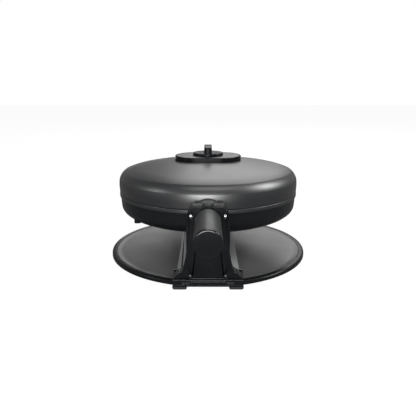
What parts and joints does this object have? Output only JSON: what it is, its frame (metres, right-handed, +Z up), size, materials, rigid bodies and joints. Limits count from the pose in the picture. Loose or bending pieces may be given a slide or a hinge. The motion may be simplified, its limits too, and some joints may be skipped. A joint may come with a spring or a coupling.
{
  "type": "rotating waffle maker",
  "caption": "Round two-plate waffle maker whose closed body is lifted by its bar handle, turned half a turn about its axle and set back in the notch of a low tray stand.",
  "frame": {"origin": "middle of the footprint on the table, at the feet", "axes": "+Z up; -Y towards the handle at the front; +X to the right seen from the front"},
  "size_m": [0.2472, 0.3716, 0.135],
  "materials": {
    "lid_shell_charcoal": "satin charcoal, heat-proof moulding",
    "casing_black": "satin black, heat-proof moulding",
    "black_plastic": "satin moulded",
    "panel_plastic": "satin moulded",
    "handle_plastic": "soft touch",
    "button_plastic": "satin gloss",
    "tray_enamel": "satin enamel",
    "fascia_plastic": "satin",
    "rubber": "matt",
    "bright_screws": "polished",
    "steel": "turned",
    "bushing_brass": "turned",
    "liner_plastic": "smooth",
    "coated_plate": "die cast with a dark non-stick coating",
    "heater_steel": "oxidised",
    "reflector_sheet": "bright sheet",
    "hinge_metal": "satin black",
    "lamp_lens": "smoked, moulded",
    "control_housing": "moulded"
  },
  "bodies": {
    "base": {"base_spine": "black_plastic", "drip_tray": "tray_enamel", "base_underplate": "black_plastic", "base_screws": "bright_screws", "front_feet": "rubber", "side_feet": "rubber", "rear_feet": "rubber", "tray_feet": "rubber", "front_upright": "black_plastic", "upright_back": "black_plastic", "upright_panel": "panel_plastic", "upright_screws": "bright_screws", "cradle_liner": "liner_plastic", "rear_post": "black_plastic", "rear_post_cover": "black_plastic", "pivot_bushes": "bushing_brass", "cord_gland": "black_plastic"},
    "lift_yoke": {"yoke": "hinge_metal", "yoke_cap": "black_plastic", "yoke_cap_screws": "bright_screws", "rotor_bush": "bushing_brass", "lift_pins": "steel", "turn_stop": "steel"},
    "lower_half": {"lower_casing": "casing_black", "front_boss": "black_plastic", "rear_boss": "black_plastic", "boss_saddles": "black_plastic", "front_shaft": "steel", "handle_grip": "handle_plastic", "rotor_shaft": "steel", "shaft_washer": "steel", "shaft_nut": "steel", "lower_plate": "coated_plate", "lower_heater": "heater_steel", "lower_reflector": "reflector_sheet", "lower_pillars": "steel", "lower_lamp": "lamp_lens", "hinge_base": "hinge_metal"},
    "floating_hinge": {"hinge_carriage": "hinge_metal", "hinge_pins": "steel"},
    "upper_half": {"lid_shell": "lid_shell_charcoal", "lid_hinge_arms": "hinge_metal", "latch_catch": "steel", "upper_plate": "coated_plate", "upper_heater": "heater_steel", "upper_reflector": "reflector_sheet", "upper_pillars": "steel", "thermostat": "control_housing", "thermal_fuse": "control_housing", "control_pod": "black_plastic", "pod_fascia": "fascia_plastic", "indicator_lenses": "lamp_lens"},
    "control_knob": {"knob_skirt": "black_plastic", "knob_grip": "black_plastic", "knob_spindle": "steel"},
    "release": {"release_button": "button_plastic", "release_rod": "steel", "latch_bar": "steel"}
  },
  "joints": [
    {"name": "lift", "type": "hinge", "parent": "base", "child": "lift_yoke", "pos_m": [0, 0.1598, 0.0761], "axis": [1, 0, 0], "range_deg": [-60, 0]},
    {"name": "turn", "type": "hinge", "parent": "lift_yoke", "child": "lower_half", "pos_m": [0, 0.1598, 0.0761], "axis": [0, 1, 0], "range_deg": [-180, 0]},
    {"name": "hinge_float", "type": "slide", "parent": "lower_half", "child": "floating_hinge", "axis": [0, 0, 1], "range_m": [0, 0.003]},
    {"name": "lid", "type": "hinge", "parent": "floating_hinge", "child": "upper_half", "pos_m": [0.044, 0.1478, 0.084], "axis": [-1, 0, 0], "range_deg": [0, 95]},
    {"name": "browning_dial", "type": "hinge", "parent": "upper_half", "child": "control_knob", "pos_m": [0, 0.0408, 0.124], "axis": [0, 0, -1], "range_deg": [0, 270]},
    {"name": "release_button", "type": "slide", "parent": "lower_half", "child": "release", "axis": [0, 1, 0], "range_m": [-0.0025, 0]}
  ],
  "couplings": [
    {"joint": "turn", "follows": "lift", "ratio": 3}
  ]
}
